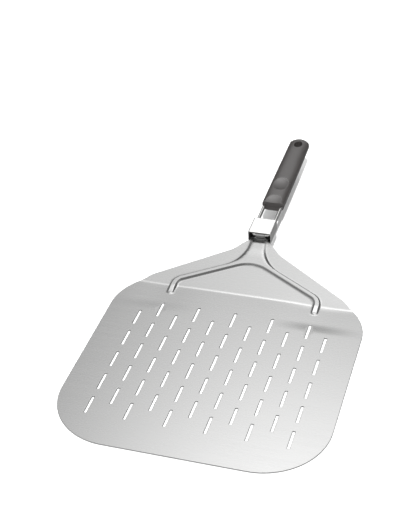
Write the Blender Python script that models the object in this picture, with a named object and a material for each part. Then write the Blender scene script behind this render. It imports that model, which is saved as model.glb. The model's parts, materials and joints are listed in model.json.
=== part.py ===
"""Folding pizza peel: a slotted stamped-steel blade, and a rod handle that folds over it.

Units are metres, +Z is up. The blade lies on Z = 0 with its front edge at -Y, and the handle points to +Y.
The origin is under the middle of the whole peel. The hinge axis runs along X through the blade's rolled eye.
"""

import math

import bmesh
import bpy
from mathutils import Matrix, Vector
from mathutils.geometry import delaunay_2d_cdt

# Blade: one sheet, 305 mm wide, drawn flat (developed) and then bent along its profile.
SHEET = 0.0012
BLADE_FRONT_Y = -0.2867
BLADE_HALF_WIDTH = 0.1525
FRONT_CORNER_R = 0.074
REAR_ARC_R = 0.068
REAR_ARC_Y = -0.0587

# Bends: where the mid-surface's straight stretches would cross, and how steeply each one climbs.
BEND_Y = -0.0092
BEND_R = 0.010
PANEL_RISE = math.radians(22.0)
NECK_BEND_Y = 0.0483
NECK_BEND_R = 0.030
NECK_RISE = math.radians(18.6)
BEND_STEPS = 5

# Rolled eye at the end of the neck, round the cross-bar of the wire.
EYE_Y = 0.0713
EYE_BORE_R = 0.0023
EYE_TURN = math.radians(285.0)
EYE_STEPS = 18
EYE_HALF_WIDTH = 0.0060
SHOULDER_BACK = 0.0042
SHOULDER_HALF_WIDTH = 0.0110
SHOULDER_RUN = 0.0030
SHOULDER_STEP = 0.0010

# Rear edge and neck, in the flat drawing: half widths, and lengths v counted from the bend line.
REAR_CORNER_R = 0.012
EDGE_POINTS = ((0.1196, 0.0109), (0.0290, 0.0624))
EDGE_CORNER_R = 0.030
NECK_HALF_WIDTH = 0.0150
NECK_BACK = 0.0112

# Slots: staggered columns of five.
SLOT_LENGTH = 0.026
SLOT_WIDTH = 0.0030
SLOT_CORNER = 0.0007
SLOT_COLUMNS = 11
SLOT_ROWS = 5
SLOT_PITCH_X = 0.0225
SLOT_PITCH_Y = 0.0387
SLOT_LAST_Y = -0.0587

# Raised Y-shaped bead on the neck panel, in the flat drawing, with v counted from the bend line.
BEAD_HEIGHT = 0.0028
BEAD_WALL = 0.0040
BEAD_CONTOURS = (0.0, 0.0012, 0.0026, 0.0041)
BEAD_OUTER_X = 0.0940
BEAD_INNER_X = 0.0846
BEAD_END_V = -0.0135
BEAD_SLOPE = 0.479
BEAD_INNER_APEX_V = 0.0461
BEAD_OUTER_APEX_V = 0.0552
BEAD_NECK_X = 0.0115
BEAD_NECK_V = 0.0900
BEAD_KNEE_INNER_R = 0.008
BEAD_KNEE_OUTER_R = 0.018
BEAD_NECK_R = 0.040
BEAD_APEX_R = 0.041
BEAD_FADE_START = 0.0135
BEAD_FADE_END = 0.0050
BEAD_NECK_DROP = 0.5
BEAD_NECK_DROP_V = 0.0480
BEAD_NECK_DROP_RUN = 0.020
BEAD_END_SHARE = 0.35
BEAD_END_RUN = 0.014

# Handle wire: a U of round rod. Its cross-bar turns in the eye.
ROD_R = 0.00215
LEG_X = 0.0109
ELBOW_R = 0.0046
LEG_END = 0.160
HOOK_LENGTH = 0.0035
HOOK_R = 0.0028
HANDLE_TILT = math.radians(1.6)

# Lock sleeve, in the handle's frame: y along the legs from the hinge axis, z up from it.
SLEEVE_FRONT = -0.0055
SLEEVE_LENGTH = 0.0300
SLEEVE_HALF_WIDTH = 0.0147
SLEEVE_TOP = 0.0070
SLEEVE_BOTTOM = -0.0080
SLEEVE_WALL = 0.0010
SLEEVE_CORNER_R = 0.0016
SLEEVE_SEAM = 0.0008
GAP = 0.0003
GUIDE_FRONT = 0.0062
GUIDE_REAR = 0.0237

# Grip, in the handle's frame.
GRIP_FRONT = 0.0610
GRIP_END = 0.2155
GRIP_HALF_WIDTH = 0.0140
GRIP_TOP = 0.0073
GRIP_BOTTOM = -0.0066
GRIP_WIDEST_Z = 0.0025
GRIP_PARTING_Z = 0.0
GRIP_TAIL_LENGTH = 0.0070
GRIP_TAIL_CORNER = 1.25
GRIP_TAIL_DROP = 0.22
GRIP_TAPER = 0.045
GRIP_SQUARENESS = 3.0
GRIP_SQUARENESS_DROP = 0.8
GRIP_LOWER_SQUARENESS = 4.0
GRIP_SIDES = 40
LOWER_SHELL_END = 0.2110
HOLE_Y = 0.2006
HOLE_HALF_WIDTH = 0.0053
HOLE_HALF_LENGTH = 0.0073
DIMPLE_Y = 0.1035
DIMPLE_R = 0.0138
DIMPLE_DEPTH = 0.0015
FRONT_DIMPLE_Y = 0.0620
FRONT_DIMPLE_R = 0.0150

# Shell screws, driven from below.
SCREWS = {"screw_front": 0.0860, "screw_middle": 0.1300, "screw_rear": 0.1740}
SCREW_HEAD_R = 0.0028
SCREW_SHANK_R = 0.0014
SCREW_TIP_Z = 0.0042
SCREW_HEAD_HEIGHT = 0.0016
HEAD_SEAT_Z = -0.0040
CAVITY_HALF_WIDTH = 0.0068
CAVITY_ROOF = 0.0044
CAVITY_END_GAP = 0.0055
FRONT_WALL = 0.008


# ---------------------------------------------------------------- helpers

def clear_scene():
    for obj in list(bpy.data.objects):
        bpy.data.objects.remove(obj, do_unlink=True)


def material(name, colour, roughness, metallic):
    made = bpy.data.materials.new(name)
    made.use_nodes = True
    shader = made.node_tree.nodes["Principled BSDF"]
    shader.inputs["Base Color"].default_value = (*colour, 1.0)
    shader.inputs["Roughness"].default_value = roughness
    shader.inputs["Metallic"].default_value = metallic
    return made


def add_object(name, mesh, finish, parent=None, smooth_angle=None):
    """One named object with one material, smooth below smooth_angle degrees."""
    obj = bpy.data.objects.new(name, mesh)
    bpy.context.scene.collection.objects.link(obj)
    if finish:
        mesh.materials.append(finish)
    if smooth_angle is not None:
        mesh.shade_smooth()
        mesh.set_sharp_from_angle(angle=math.radians(smooth_angle))
    obj.parent = parent
    return obj


def mesh_from(name, points, faces):
    mesh = bpy.data.meshes.new(name)
    mesh.from_pydata([tuple(point) for point in points], [], faces)
    mesh.update()
    return mesh


def face_out(bm):
    bmesh.ops.recalc_face_normals(bm, faces=bm.faces)


def cutter(name, mesh, parent):
    """A hidden helper for a Boolean: it isn't a piece of the peel."""
    obj = add_object(name, mesh, None, parent)
    obj.hide_render = True
    obj.display_type = "WIRE"
    return obj


def cut(obj, tool):
    boolean = obj.modifiers.new(tool.name, "BOOLEAN")
    boolean.operation = "DIFFERENCE"
    boolean.solver = "EXACT"
    boolean.object = tool


def cylinder_mesh(name, radius, low, high, axis, centre, sides=32):
    """A cylinder along "Y" or "Z", from low to high on that axis, centred on (x, other coordinate)."""
    bm = bmesh.new()
    bmesh.ops.create_cone(
        bm, cap_ends=True, segments=sides, radius1=radius, radius2=radius, depth=high - low
    )
    if axis == "Y":
        bmesh.ops.rotate(bm, cent=(0, 0, 0), matrix=Matrix.Rotation(math.pi / 2, 3, "X"), verts=bm.verts)
        middle = (centre[0], (low + high) / 2, centre[1])
    else:
        middle = (centre[0], centre[1], (low + high) / 2)
    bmesh.ops.translate(bm, vec=middle, verts=bm.verts)
    mesh = bpy.data.meshes.new(name)
    bm.to_mesh(mesh)
    bm.free()
    return mesh


def box_mesh(name, low, high):
    bm = bmesh.new()
    bmesh.ops.create_cube(bm, size=1.0)
    size = Vector(high) - Vector(low)
    bmesh.ops.scale(bm, vec=size, verts=bm.verts)
    bmesh.ops.translate(bm, vec=(Vector(low) + Vector(high)) / 2, verts=bm.verts)
    mesh = bpy.data.meshes.new(name)
    bm.to_mesh(mesh)
    bm.free()
    return mesh


def rounded_path(corners, closed=True, step=math.radians(15)):
    """Points of a polyline whose corners (x, y, radius) are rounded with arcs."""
    path = []
    count = len(corners)
    for i, (x, y, radius) in enumerate(corners):
        here = Vector((x, y))
        if radius == 0 or (not closed and i in (0, count - 1)):
            path.append(here)
            continue
        before = (Vector(corners[i - 1][:2]) - here).normalized()
        after = (Vector(corners[(i + 1) % count][:2]) - here).normalized()
        half = before.angle(after) / 2
        middle = here + (before + after).normalized() * (radius / math.sin(half))
        start = here + before * (radius / math.tan(half)) - middle
        turn = math.pi - 2 * half
        sense = 1 if before.x * after.y - before.y * after.x < 0 else -1
        steps = max(2, math.ceil(turn / step))
        for k in range(steps + 1):
            angle = sense * turn * k / steps
            cos, sin = math.cos(angle), math.sin(angle)
            path.append(middle + Vector((start.x * cos - start.y * sin, start.x * sin + start.y * cos)))
    return path


def inset(path, distance):
    """A closed path moved inwards by a distance (the path runs anticlockwise)."""
    moved = []
    for i, point in enumerate(path):
        before = (point - path[i - 1]).normalized()
        after = (path[(i + 1) % len(path)] - point).normalized()
        normal = Vector((-before.y - after.y, before.x + after.x)).normalized()
        moved.append(point + normal * (distance / max(0.3, normal.dot(Vector((-before.y, before.x))))))
    return moved


def inside(path, x, y):
    """Is the point inside the closed path?"""
    crossings = 0
    for i, (x1, y1) in enumerate(path):
        x0, y0 = path[i - 1]
        if (y0 > y) != (y1 > y) and x < x0 + (y - y0) * (x1 - x0) / (y1 - y0):
            crossings += 1
    return crossings % 2 == 1


def distance_to(path, x, y):
    """Distance from the point to the closed path."""
    nearest = 1.0
    for i, (x1, y1) in enumerate(path):
        x0, y0 = path[i - 1]
        dx, dy = x1 - x0, y1 - y0
        share = max(0.0, min(1.0, ((x - x0) * dx + (y - y0) * dy) / (dx * dx + dy * dy)))
        nearest = min(nearest, math.hypot(x - x0 - share * dx, y - y0 - share * dy))
    return nearest


# ---------------------------------------------------------------- the sheet's profile

def sheet_profile():
    """The stretches of the mid-surface as (length, curvature), and the length up to each one's start."""
    bend_run = BEND_R * math.tan(PANEL_RISE / 2)
    neck_turn = PANEL_RISE - NECK_RISE
    neck_run = NECK_BEND_R * math.tan(neck_turn / 2)
    eye_r = EYE_BORE_R + SHEET / 2
    eye_start_y = EYE_Y + eye_r * math.sin(NECK_RISE)
    stretches = [
        (BEND_Y - bend_run - BLADE_FRONT_Y, 0.0),
        (BEND_R * PANEL_RISE, 1 / BEND_R),
        ((NECK_BEND_Y - BEND_Y) / math.cos(PANEL_RISE) - bend_run - neck_run, 0.0),
        (NECK_BEND_R * neck_turn, -1 / NECK_BEND_R),
        ((eye_start_y - NECK_BEND_Y) / math.cos(NECK_RISE) - neck_run, 0.0),
        (eye_r * EYE_TURN, 1 / eye_r),
    ]
    starts = [BLADE_FRONT_Y]
    for length, _ in stretches:
        starts.append(starts[-1] + length)
    return stretches, starts


STRETCHES, STARTS = sheet_profile()
PANEL_V0 = (STARTS[1] + STARTS[2]) / 2
EYE_START = STARTS[5]


def on_profile(s):
    """(y, z, heading) of the mid-surface at the developed length s."""
    y, z, heading = BLADE_FRONT_Y, SHEET / 2, 0.0
    for (length, curvature), start in zip(STRETCHES, STARTS):
        run = min(length, s - start)
        if run <= 0:
            break
        if curvature:
            turned = heading + run * curvature
            y += (math.sin(turned) - math.sin(heading)) / curvature
            z += (math.cos(heading) - math.cos(turned)) / curvature
            heading = turned
        else:
            y += run * math.cos(heading)
            z += run * math.sin(heading)
    return y, z, heading


def eye_centre():
    y, z, heading = on_profile(EYE_START)
    eye_r = EYE_BORE_R + SHEET / 2
    return y - eye_r * math.sin(heading), z + eye_r * math.cos(heading)


EYE_CENTRE_Y, EYE_CENTRE_Z = eye_centre()


# ---------------------------------------------------------------- blade

def blade_outline():
    """The flat blank, anticlockwise, as (x, s). Its right half is mirrored."""
    corner_x = BLADE_HALF_WIDTH - FRONT_CORNER_R
    right = []
    for k in range(13):
        angle = math.pi / 2 * (k / 12 - 1)
        right.append((corner_x + FRONT_CORNER_R * math.cos(angle),
                      BLADE_FRONT_Y + FRONT_CORNER_R * (1 + math.sin(angle))))
    rear_turn = math.asin((BEND_Y - REAR_ARC_Y) / REAR_ARC_R)
    for k in range(9):
        angle = rear_turn * k / 8
        right.append((BLADE_HALF_WIDTH - REAR_ARC_R * (1 - math.cos(angle)),
                      REAR_ARC_Y + REAR_ARC_R * math.sin(angle)))
    neck_start = STARTS[4]
    shoulder_s = EYE_START - SHOULDER_BACK
    edge = [
        (*right.pop(), REAR_CORNER_R),
        *((x, PANEL_V0 + v, EDGE_CORNER_R) for x, v in EDGE_POINTS),
        (NECK_HALF_WIDTH, neck_start + NECK_BACK, EDGE_CORNER_R),
        (SHOULDER_HALF_WIDTH, shoulder_s - SHOULDER_RUN, 0.0),
        (SHOULDER_HALF_WIDTH, shoulder_s, 0.0),
        (EYE_HALF_WIDTH, shoulder_s + SHOULDER_STEP, 0.0),
        (EYE_HALF_WIDTH, STARTS[6], 0.0),
    ]
    rounded = rounded_path([(*right[-1], 0.0), *edge], closed=False, step=math.radians(8))
    right += [tuple(point) for point in rounded[1:]]
    return right + [(-x, s) for x, s in reversed(right)]


def slot_outlines():
    """Each slot as a closed loop of (x, s), square-ended with small corners."""
    half_x, half_y, corner = SLOT_WIDTH / 2, SLOT_LENGTH / 2, SLOT_CORNER
    shape = [
        (half_x - corner, -half_y), (half_x, corner - half_y),
        (half_x, half_y - corner), (half_x - corner, half_y),
        (corner - half_x, half_y), (-half_x, half_y - corner),
        (-half_x, corner - half_y), (corner - half_x, -half_y),
    ]
    middle = SLOT_COLUMNS // 2
    loops = []
    for column in range(-middle, middle + 1):
        stagger = SLOT_PITCH_Y / 2 if column % 2 else 0.0
        for row in range(SLOT_ROWS):
            x0 = column * SLOT_PITCH_X
            y0 = SLOT_LAST_Y - row * SLOT_PITCH_Y - stagger
            loops.append([(x0 + x, y0 + y) for x, y in shape])
    return loops


def bead_outline():
    """The edge of the raised bead, anticlockwise, as vectors (x, s)."""
    def diagonal(apex, x):
        return PANEL_V0 + apex - BEAD_SLOPE * x

    end = PANEL_V0 + BEAD_END_V
    cap = (BEAD_OUTER_X - BEAD_INNER_X) / 2
    right = [
        (BEAD_INNER_X, diagonal(BEAD_INNER_APEX_V, BEAD_INNER_X), BEAD_KNEE_INNER_R),
        (BEAD_INNER_X, end - cap, cap * 0.999),
        (BEAD_OUTER_X, end - cap, cap * 0.999),
        (BEAD_OUTER_X, diagonal(BEAD_OUTER_APEX_V, BEAD_OUTER_X), BEAD_KNEE_OUTER_R),
        (BEAD_NECK_X, diagonal(BEAD_OUTER_APEX_V, BEAD_NECK_X), BEAD_NECK_R),
        (BEAD_NECK_X, PANEL_V0 + BEAD_NECK_V, 0.0),
    ]
    left = [(-x, s, radius) for x, s, radius in reversed(right)]
    apex = (0.0, diagonal(BEAD_INNER_APEX_V, 0.0), BEAD_APEX_R)
    return rounded_path([apex, *right, *left], step=math.radians(10))


BEAD_EDGE = bead_outline()


def smooth(share):
    share = max(0.0, min(1.0, share))
    return share * share * (3 - 2 * share)


def bead_lift(x, s):
    """How far the stamping lifts the sheet at (x, s): lower on the neck and at its ends, and nothing by the eye."""
    if not inside(BEAD_EDGE, x, s):
        return 0.0
    wall = min(1.0, distance_to(BEAD_EDGE, x, s) / BEAD_WALL)
    neck_fade = smooth((EYE_START - BEAD_FADE_END - s) / (BEAD_FADE_START - BEAD_FADE_END))
    neck_fade *= 1 - BEAD_NECK_DROP * smooth((s - PANEL_V0 - BEAD_NECK_DROP_V) / BEAD_NECK_DROP_RUN)
    from_end = smooth((s - PANEL_V0 - BEAD_END_V) / BEAD_END_RUN)
    end_fade = BEAD_END_SHARE + (1 - BEAD_END_SHARE) * from_end
    return BEAD_HEIGHT * math.sin(wall * math.pi / 2) * neck_fade * end_fade


def profile_stations():
    """Developed lengths where the sheet needs a row of points, because it curves there."""
    rows = []
    for stretch, steps in ((1, BEND_STEPS), (3, 2), (5, EYE_STEPS)):
        start, end = STARTS[stretch], STARTS[stretch + 1]
        rows += [start + (end - start) * k / steps for k in range(steps + 1)]
    fade_start = EYE_START - BEAD_FADE_START
    fade_end = EYE_START - BEAD_FADE_END
    rows += [fade_start + (fade_end - fade_start) * k / 4 for k in range(5)]
    return rows[:-1]


def blade_blank():
    """The flat blank cut into triangles: points (x, s) and index triples."""
    loops = [blade_outline(), *slot_outlines()]
    loops += [[tuple(p) for p in inset(BEAD_EDGE, d)] for d in BEAD_CONTOURS]
    points, edges = [], []
    for loop in loops:
        first = len(points)
        points += [Vector(p) for p in loop]
        edges += [(first + k, first + (k + 1) % len(loop)) for k in range(len(loop))]
    for s in profile_stations():
        edges.append((len(points), len(points) + 1))
        points += [Vector((-BLADE_HALF_WIDTH, s)), Vector((BLADE_HALF_WIDTH, s))]
    blank, _, triangles, *_ = delaunay_2d_cdt(points, edges, [], 0, 1e-7)
    outline, slots = loops[0], loops[1:1 + SLOT_COLUMNS * SLOT_ROWS]
    kept = []
    for triangle in triangles:
        x, s = sum((blank[i] for i in triangle), Vector((0, 0))) / 3
        near = [loop for loop in slots
                if abs(loop[0][0] - x) < SLOT_LENGTH and abs(loop[0][1] - s) < 2 * SLOT_LENGTH]
        if inside(outline, x, s) and not any(inside(loop, x, s) for loop in near):
            kept.append(tuple(triangle))
    return blank, kept


def make_blade(finish):
    """Bends the blank along the profile and gives it the sheet's thickness."""
    blank, triangles = blade_blank()
    used = sorted({i for triangle in triangles for i in triangle})
    index = {old: new for new, old in enumerate(used)}
    top, bottom = [], []
    for i in used:
        x, s = blank[i]
        y, z, heading = on_profile(s)
        lift = bead_lift(x, s)
        for side, layer in ((SHEET / 2, top), (-SHEET / 2, bottom)):
            out = lift + side
            layer.append((x, y - out * math.sin(heading), z + out * math.cos(heading)))
    faces = [tuple(index[i] for i in triangle) for triangle in triangles]
    below = [tuple(i + len(top) for i in reversed(face)) for face in faces]
    seen = {(face[k], face[(k + 1) % 3]) for face in faces for k in range(3)}
    rims = [(b, a, a + len(top), b + len(top)) for a, b in seen if (b, a) not in seen]
    mesh = mesh_from("blade", top + bottom, faces + below + sorted(rims))
    return add_object("blade", mesh, finish, smooth_angle=25)


# ---------------------------------------------------------------- handle wire

def make_wire(finish, hinge):
    """The U of rod, as a curve with a round bevel, its ends hooked inwards inside the grip."""
    corners = [
        (LEG_X - HOOK_LENGTH, LEG_END, 0.0),
        (LEG_X, LEG_END, HOOK_R),
        (LEG_X, 0.0, ELBOW_R),
        (-LEG_X, 0.0, ELBOW_R),
        (-LEG_X, LEG_END, HOOK_R),
        (HOOK_LENGTH - LEG_X, LEG_END, 0.0),
    ]
    path = rounded_path(corners, closed=False, step=math.radians(13))
    curve = bpy.data.curves.new("handle_wire", "CURVE")
    curve.dimensions = "3D"
    curve.bevel_depth = ROD_R
    curve.bevel_resolution = 3
    curve.use_fill_caps = True
    spline = curve.splines.new("POLY")
    spline.points.add(len(path) - 1)
    for point, (x, y) in zip(spline.points, path):
        point.co = (x, y, 0.0, 1.0)
    curve.materials.append(finish)
    obj = bpy.data.objects.new("handle_wire", curve)
    bpy.context.scene.collection.objects.link(obj)
    obj.parent = hinge
    return obj


# ---------------------------------------------------------------- lock sleeve and its guide

def sleeve_section(depth):
    """Half of the folded tube's section from its seam, as (x, z), moved inwards by depth."""
    x = SLEEVE_HALF_WIDTH - depth
    low, high = SLEEVE_BOTTOM + depth, SLEEVE_TOP - depth
    radius = SLEEVE_CORNER_R - depth
    corners = [(SLEEVE_SEAM / 2, low, 0.0), (x, low, radius), (x, high, radius), (0.0, high, 0.0)]
    return [tuple(p) for p in rounded_path(corners, closed=False, step=math.radians(23))]


def make_sleeve(finish, hinge):
    """Sheet folded into a box tube, open at both ends, with its seam underneath."""
    right = sleeve_section(0.0)
    outer = right + [(-x, z) for x, z in reversed(right[:-1])]
    right = sleeve_section(SLEEVE_WALL)
    inner = right + [(-x, z) for x, z in reversed(right[:-1])]
    section = outer + inner[::-1]
    front = [(x, SLEEVE_FRONT, z) for x, z in section]
    rear = [(x, SLEEVE_FRONT + SLEEVE_LENGTH, z) for x, z in section]
    count, half = len(section), len(outer)
    faces = [(k, (k + 1) % count, (k + 1) % count + count, k + count) for k in range(count)]
    for k in range(half - 1):
        strip = (k, k + 1, count - 2 - k, count - 1 - k)
        faces += [strip[::-1], tuple(i + count for i in strip)]
    bm = bmesh.new()
    mesh = mesh_from("lock_sleeve", front + rear, faces)
    bm.from_mesh(mesh)
    face_out(bm)
    bm.to_mesh(mesh)
    bm.free()
    return add_object("lock_sleeve", mesh, finish, hinge, smooth_angle=40)


def make_guide(finish, hinge):
    """Plastic block inside the sleeve: an I-section that the two legs run along."""
    wide = SLEEVE_HALF_WIDTH - SLEEVE_WALL - GAP
    web = LEG_X - ROD_R - GAP
    low = SLEEVE_BOTTOM + SLEEVE_WALL + GAP
    high = SLEEVE_TOP - SLEEVE_WALL - GAP
    flange = ROD_R + GAP
    corner = 0.0008
    right = [
        (web, -flange), (wide, -flange), (wide, low + corner), (wide - corner, low),
    ]
    left_low = [(corner - wide, low), (-wide, low + corner), (-wide, -flange), (-web, -flange)]
    left_high = [(-web, flange), (-wide, flange), (-wide, high - corner), (corner - wide, high)]
    right_high = [(wide - corner, high), (wide, high - corner), (wide, flange), (web, flange)]
    section = right + left_low + left_high + right_high
    bm = bmesh.new()
    ring = [bm.verts.new((x, GUIDE_FRONT, z)) for x, z in section]
    face = bm.faces.new(ring)
    moved = bmesh.ops.extrude_face_region(bm, geom=[face])
    verts = [item for item in moved["geom"] if isinstance(item, bmesh.types.BMVert)]
    bmesh.ops.translate(bm, vec=(0, GUIDE_REAR - GUIDE_FRONT, 0), verts=verts)
    face_out(bm)
    mesh = bpy.data.meshes.new("sleeve_guide")
    bm.to_mesh(mesh)
    bm.free()
    return add_object("sleeve_guide", mesh, finish, hinge)


# ---------------------------------------------------------------- grip

def power(value, exponent):
    return math.copysign(abs(value) ** exponent, value)


def grip_ring(y, width_share, height_share, squareness):
    """One section of the grip: superellipse halves above and below its widest line."""
    middle = (GRIP_TOP + GRIP_BOTTOM) / 2
    ring = []
    for k in range(GRIP_SIDES):
        angle = 2 * math.pi * k / GRIP_SIDES
        cos, sin = math.cos(angle), math.sin(angle)
        bulge = squareness if sin > 0 else GRIP_LOWER_SQUARENESS
        reach = GRIP_TOP - GRIP_WIDEST_Z if sin > 0 else GRIP_WIDEST_Z - GRIP_BOTTOM
        x = GRIP_HALF_WIDTH * width_share * power(cos, 2 / bulge)
        z = GRIP_WIDEST_Z + reach * power(sin, 2 / bulge)
        ring.append((x, y, middle + (z - middle) * height_share))
    return ring


def tail_width(left):
    """The width share at this distance from the tail's end: a circular arc with its corners rounded off."""
    widest = 1 - GRIP_TAPER
    half = widest * GRIP_HALF_WIDTH
    radius = (half ** 2 + GRIP_TAIL_LENGTH ** 2) / (2 * GRIP_TAIL_LENGTH)
    arc = math.sqrt(radius ** 2 - (radius - left) ** 2) / half
    return widest * (1 - (1 - arc) ** GRIP_TAIL_CORNER)


def grip_stations():
    """(y, width share, height share, squareness) from the front face to the rounded tail."""
    rows = [
        (GRIP_FRONT, 0.965, 0.93, GRIP_SQUARENESS),
        (GRIP_FRONT + 0.0006, 0.985, 0.975, GRIP_SQUARENESS),
        (GRIP_FRONT + 0.0018, 0.995, 1.0, GRIP_SQUARENESS),
    ]
    straight_start = rows[-1][0]
    straight_run = GRIP_END - GRIP_TAIL_LENGTH - straight_start
    for k in range(1, 11):
        share = k / 10
        width = 1.0 - GRIP_TAPER * share ** 2
        rows.append((straight_start + straight_run * share, width, 1.0,
                     GRIP_SQUARENESS - GRIP_SQUARENESS_DROP * share))
    for k in range(1, 10):
        left = GRIP_TAIL_LENGTH * (1 - k / 9) ** 2 + 0.00002
        height = 1.0 - GRIP_TAIL_DROP * (1 - left / GRIP_TAIL_LENGTH) ** 4
        rows.append((GRIP_END - left, tail_width(left), height, GRIP_SQUARENESS - GRIP_SQUARENESS_DROP))
    return rows


def grip_body():
    """The whole grip as one closed loft, before it is parted into shells."""
    bm = bmesh.new()
    rings = [[bm.verts.new(p) for p in grip_ring(*row)] for row in grip_stations()]
    for first, second in zip(rings, rings[1:]):
        for k in range(GRIP_SIDES):
            j = (k + 1) % GRIP_SIDES
            bm.faces.new((first[k], first[j], second[j], second[k]))
    bm.faces.new(rings[0])
    bm.faces.new(rings[-1])
    face_out(bm)
    return bm


def part_grip(name, plane_z, keep_above, finish, hinge):
    """Keeps the grip above or below a level plane, with the cut closed."""
    bm = grip_body()
    normal = (0, 0, -1) if keep_above else (0, 0, 1)
    everything = list(bm.verts) + list(bm.edges) + list(bm.faces)
    bmesh.ops.bisect_plane(
        bm, geom=everything, dist=1e-6, plane_co=(0, 0, plane_z), plane_no=normal, clear_outer=True
    )
    open_edges = [edge for edge in bm.edges if len(edge.link_faces) == 1]
    bmesh.ops.contextual_create(bm, geom=open_edges)
    face_out(bm)
    mesh = bpy.data.meshes.new(name)
    bm.to_mesh(mesh)
    bm.free()
    return add_object(name, mesh, finish, hinge, smooth_angle=35)


def sphere_cutter(name, y, radius, depth, hinge):
    """The bottom of a ball, which leaves a round dimple of this radius and depth in the grip's top."""
    ball = (radius * radius + depth * depth) / (2 * depth)
    kept_depth = 4 * depth
    bm = bmesh.new()
    bmesh.ops.create_uvsphere(bm, u_segments=96, v_segments=64, radius=ball)
    low = [v for v in bm.verts if v.co.z < kept_depth - ball]
    bmesh.ops.delete(bm, geom=[v for v in bm.verts if v not in low], context="VERTS")
    bmesh.ops.contextual_create(bm, geom=[e for e in bm.edges if e.is_boundary])
    bmesh.ops.translate(bm, vec=(0, y, GRIP_TOP - depth + ball), verts=bm.verts)
    face_out(bm)
    mesh = bpy.data.meshes.new(name)
    bm.to_mesh(mesh)
    bm.free()
    return cutter(name, mesh, hinge)


def shared_cutters(hinge):
    """The channels for the wire, the screw holes and the hanging hole, cut from both shells."""
    tools = []
    channel_r = ROD_R + GAP
    for side, sign in (("left", -1), ("right", 1)):
        mesh = cylinder_mesh("channel_" + side, channel_r, GRIP_FRONT - 0.002,
                             LEG_END + channel_r, "Y", (sign * LEG_X, 0.0), 24)
        tools.append(cutter("cut_channel_" + side, mesh, hinge))
    hooks = box_mesh("hook_room", (-LEG_X, LEG_END - channel_r, -channel_r), (LEG_X, LEG_END + channel_r, channel_r))
    tools.append(cutter("cut_hook_room", hooks, hinge))
    hole = cylinder_mesh("hanging_hole", HOLE_HALF_WIDTH, -0.02, 0.03, "Z", (0.0, 0.0), 40)
    hole.transform(Matrix.Diagonal((1.0, HOLE_HALF_LENGTH / HOLE_HALF_WIDTH, 1.0, 1.0)))
    hole.transform(Matrix.Translation((0.0, HOLE_Y, 0.0)))
    tools.append(cutter("cut_hanging_hole", hole, hinge))
    return tools


def make_upper_shell(finish, hinge, shared):
    shell = part_grip("grip_upper_shell", GRIP_PARTING_Z + GAP / 2, True, finish, hinge)
    for tool in shared:
        cut(shell, tool)
    bounds = [GRIP_FRONT - CAVITY_END_GAP + FRONT_WALL, *SCREWS.values(), HOLE_Y - HOLE_HALF_LENGTH]
    for i, (front, rear) in enumerate(zip(bounds, bounds[1:])):
        low = (-CAVITY_HALF_WIDTH, front + CAVITY_END_GAP, -0.001)
        high = (CAVITY_HALF_WIDTH, rear - CAVITY_END_GAP, CAVITY_ROOF)
        cut(shell, cutter("cut_cavity_%d" % i, box_mesh("cavity", low, high), hinge))
    for name, y in SCREWS.items():
        mesh = cylinder_mesh("boss", SCREW_SHANK_R + GAP, -0.001, SCREW_TIP_Z + GAP, "Z", (0.0, y), 16)
        cut(shell, cutter("cut_boss_" + name, mesh, hinge))
    cut(shell, sphere_cutter("cut_dimple", DIMPLE_Y, DIMPLE_R, DIMPLE_DEPTH, hinge))
    cut(shell, sphere_cutter("cut_front_dimple", FRONT_DIMPLE_Y, FRONT_DIMPLE_R, DIMPLE_DEPTH, hinge))
    return shell


def make_lower_shell(finish, hinge, shared):
    shell = part_grip("grip_lower_shell", GRIP_PARTING_Z - GAP / 2, False, finish, hinge)
    for tool in shared:
        cut(shell, tool)
    for name, y in SCREWS.items():
        shank = cylinder_mesh("shank_hole", SCREW_SHANK_R + GAP, -0.01, 0.01, "Z", (0.0, y), 16)
        cut(shell, cutter("cut_shank_" + name, shank, hinge))
        head = cylinder_mesh("head_seat", SCREW_HEAD_R + GAP, -0.01, HEAD_SEAT_Z, "Z", (0.0, y), 24)
        cut(shell, cutter("cut_head_" + name, head, hinge))
    tail = box_mesh("tail_step", (-0.02, LOWER_SHELL_END, -0.01), (0.02, GRIP_END + 0.01, 0.01))
    cut(shell, cutter("cut_tail_step", tail, hinge))
    return shell


def make_screw(name, y, finish, hinge):
    """Pan-head screw, head down, turned round its own axis."""
    head_top = HEAD_SEAT_Z - GAP
    head_low = head_top - SCREW_HEAD_HEIGHT
    sides = 16
    profile = [
        (0.0012, head_low + 0.0008), (0.0012, head_low), (0.0020, head_low),
        (SCREW_HEAD_R, head_low + 0.0006), (SCREW_HEAD_R, head_top),
        (SCREW_SHANK_R, head_top), (SCREW_SHANK_R, SCREW_TIP_Z - 0.0012), (0.0006, SCREW_TIP_Z),
    ]
    bm = bmesh.new()
    rings = []
    for radius, z in profile:
        ring = []
        for k in range(sides):
            angle = 2 * math.pi * k / sides
            ring.append(bm.verts.new((radius * math.cos(angle), radius * math.sin(angle), z)))
        rings.append(ring)
    for first, second in zip(rings, rings[1:]):
        for k in range(sides):
            j = (k + 1) % sides
            bm.faces.new((first[k], first[j], second[j], second[k]))
    bm.faces.new(rings[0])
    bm.faces.new(rings[-1])
    face_out(bm)
    mesh = bpy.data.meshes.new(name)
    bm.to_mesh(mesh)
    bm.free()
    screw = add_object(name, mesh, finish, hinge, smooth_angle=35)
    screw.location = (0.0, y, 0.0)
    return screw


# ---------------------------------------------------------------- the peel

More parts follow.
